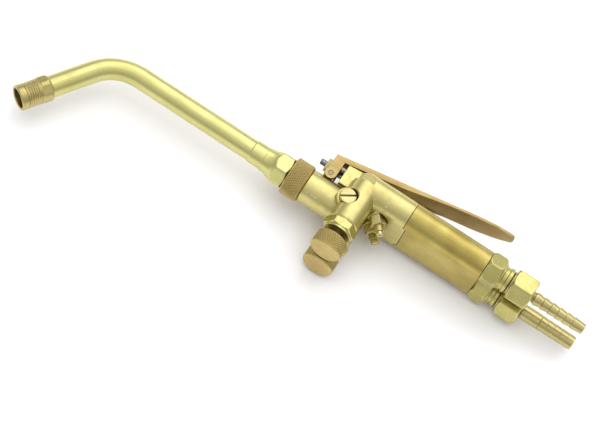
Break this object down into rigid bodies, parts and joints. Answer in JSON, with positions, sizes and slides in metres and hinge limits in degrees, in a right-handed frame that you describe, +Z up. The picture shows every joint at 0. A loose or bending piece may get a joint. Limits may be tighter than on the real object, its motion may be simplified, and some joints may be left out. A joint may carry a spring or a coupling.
{
  "type": "lampwork hand torch",
  "caption": "Brass gas and oxygen hand torch with a bent neck, knurled needle valves, a squeeze lever and barbed hose tails.",
  "frame": {"origin": "middle of the footprint of the torch as it lies on its side, on the bench surface", "axes": "+X along the handle towards the tip, +Y towards the valve knobs, +Z up from the bench; the lever is on the -Y side"},
  "size_m": [0.3212, 0.0952, 0.0395],
  "materials": {
    "body_brass": "machined, bright, lightly lacquered",
    "handle_brass": "satin, brushed along the handle",
    "neck_brass": "drawn tube, smooth and bright",
    "knurled_brass": "knurled, dull golden brown",
    "lever_brass": "pressed sheet, warm and slightly scuffed",
    "hose_tail_brass": "turned",
    "nut_brass": "machined hexagon, rounded corners",
    "fitting_brass": "small turned fittings",
    "blued_steel": "blue grey steel screw",
    "steel": "plain steel wire and pin",
    "seal_rubber": "black rubber ring",
    "packing": "white pressed packing"
  },
  "bodies": {
    "handle_and_valve_body": {"valve_body": "body_brass", "handle_shell": "handle_brass", "handle_end_plate": "fitting_brass", "lever_pivot_pin": "steel", "oxygen_gas_tube": "fitting_brass", "oxygen_inlet_connector": "nut_brass", "oxygen_gland_nut": "nut_brass", "oxygen_stem_packing": "packing", "oxygen_side_plug": "fitting_brass", "oxygen_pilot_body": "fitting_brass", "oxygen_plunger_seal": "seal_rubber", "oxygen_plunger_spring": "steel", "oxygen_hose_tail": "hose_tail_brass", "fuel_gas_tube": "fitting_brass", "fuel_inlet_connector": "nut_brass", "fuel_gland_nut": "nut_brass", "fuel_stem_packing": "packing", "fuel_side_plug": "fitting_brass", "fuel_pilot_body": "fitting_brass", "fuel_plunger_seal": "seal_rubber", "fuel_plunger_spring": "steel", "fuel_hose_tail": "hose_tail_brass"},
    "lever": {"lever": "lever_brass", "stop_screw_lock_nut": "fitting_brass"},
    "stop_screw": {"stop_screw": "blued_steel"},
    "neck": {"neck_tube": "neck_brass", "tip_connector": "neck_brass", "neck_base_fitting": "neck_brass", "neck_retaining_ring": "fitting_brass", "injector_nozzle": "fitting_brass", "nozzle_seal": "seal_rubber"},
    "neck_union_nut": {"neck_union_nut": "knurled_brass"},
    "oxygen_valve_stem": {"oxygen_valve_stem": "fitting_brass"},
    "oxygen_knob": {"oxygen_knob": "knurled_brass"},
    "oxygen_pilot_screw": {"oxygen_pilot_screw": "fitting_brass"},
    "oxygen_plunger": {"oxygen_plunger": "steel"},
    "oxygen_hose_nut": {"oxygen_hose_nut": "nut_brass"},
    "fuel_valve_stem": {"fuel_valve_stem": "fitting_brass"},
    "fuel_knob": {"fuel_knob": "knurled_brass"},
    "fuel_pilot_screw": {"fuel_pilot_screw": "fitting_brass"},
    "fuel_plunger": {"fuel_plunger": "steel"},
    "fuel_hose_nut": {"fuel_hose_nut": "nut_brass"}
  },
  "joints": [
    {"name": "lever_press", "type": "hinge", "parent": "handle_and_valve_body", "child": "lever", "pos_m": [-0.00344, -0.01678, 0.01981], "axis": [0, 0, -1], "range_deg": [0, 5.5], "stiffness_Nm_per_rad": 0.6, "springref_deg": -6.88},
    {"name": "stop_screw_turn", "type": "hinge", "parent": "lever", "child": "stop_screw", "pos_m": [-0.00234, -0.02328, 0.01981], "axis": [1, 0, 0], "range_deg": [-180, 180]},
    {"name": "neck_swivel", "type": "hinge", "parent": "handle_and_valve_body", "child": "neck", "pos_m": [0.00406, -0.00588, 0.01981], "axis": [1, 0, 0], "continuous": true},
    {"name": "neck_union_nut_turn", "type": "hinge", "parent": "handle_and_valve_body", "child": "neck_union_nut", "pos_m": [0.00906, -0.00588, 0.01981], "axis": [1, 0, 0], "continuous": true},
    {"name": "oxygen_stem_travel", "type": "slide", "parent": "handle_and_valve_body", "child": "oxygen_valve_stem", "axis": [0, 1, 0], "range_m": [0, 0.0015]},
    {"name": "oxygen_knob_turn", "type": "hinge", "parent": "oxygen_valve_stem", "child": "oxygen_knob", "pos_m": [-0.02414, 0.01612, 0.02982], "axis": [0, 1, 0], "range_deg": [0, 540]},
    {"name": "oxygen_plunger_travel", "type": "slide", "parent": "handle_and_valve_body", "child": "oxygen_plunger", "axis": [-1, 0, 0], "range_m": [0, 0.0008], "deforming": ["oxygen_plunger_spring"]},
    {"name": "oxygen_pilot_screw_turn", "type": "hinge", "parent": "handle_and_valve_body", "child": "oxygen_pilot_screw", "pos_m": [-0.04355, -0.00169, 0.02551], "axis": [-0.6157, 0.788, 0], "range_deg": [-180, 180]},
    {"name": "oxygen_hose_nut_turn", "type": "hinge", "parent": "handle_and_valve_body", "child": "oxygen_hose_nut", "pos_m": [-0.12144, -0.01868, 0.02982], "axis": [-1, 0, 0], "continuous": true},
    {"name": "fuel_stem_travel", "type": "slide", "parent": "handle_and_valve_body", "child": "fuel_valve_stem", "axis": [0, 1, 0], "range_m": [0, 0.0015]},
    {"name": "fuel_knob_turn", "type": "hinge", "parent": "fuel_valve_stem", "child": "fuel_knob", "pos_m": [-0.02414, 0.01612, 0.00982], "axis": [0, 1, 0], "range_deg": [0, 540]},
    {"name": "fuel_plunger_travel", "type": "slide", "parent": "handle_and_valve_body", "child": "fuel_plunger", "axis": [-1, 0, 0], "range_m": [0, 0.0008], "deforming": ["fuel_plunger_spring"]},
    {"name": "fuel_pilot_screw_turn", "type": "hinge", "parent": "handle_and_valve_body", "child": "fuel_pilot_screw", "pos_m": [-0.04355, -0.00169, 0.01412], "axis": [-0.6157, 0.788, 0], "range_deg": [-180, 180]},
    {"name": "fuel_hose_nut_turn", "type": "hinge", "parent": "handle_and_valve_body", "child": "fuel_hose_nut", "pos_m": [-0.12144, -0.01868, 0.00982], "axis": [-1, 0, 0], "continuous": true}
  ],
  "couplings": [
    {"joint": "oxygen_knob_turn", "follows": "oxygen_stem_travel", "rad_per_m": 6283.2},
    {"joint": "oxygen_plunger_travel", "follows": "lever_press", "m_per_rad": 0.0071},
    {"joint": "fuel_knob_turn", "follows": "fuel_stem_travel", "rad_per_m": 6283.2},
    {"joint": "fuel_plunger_travel", "follows": "lever_press", "m_per_rad": 0.0071}
  ]
}
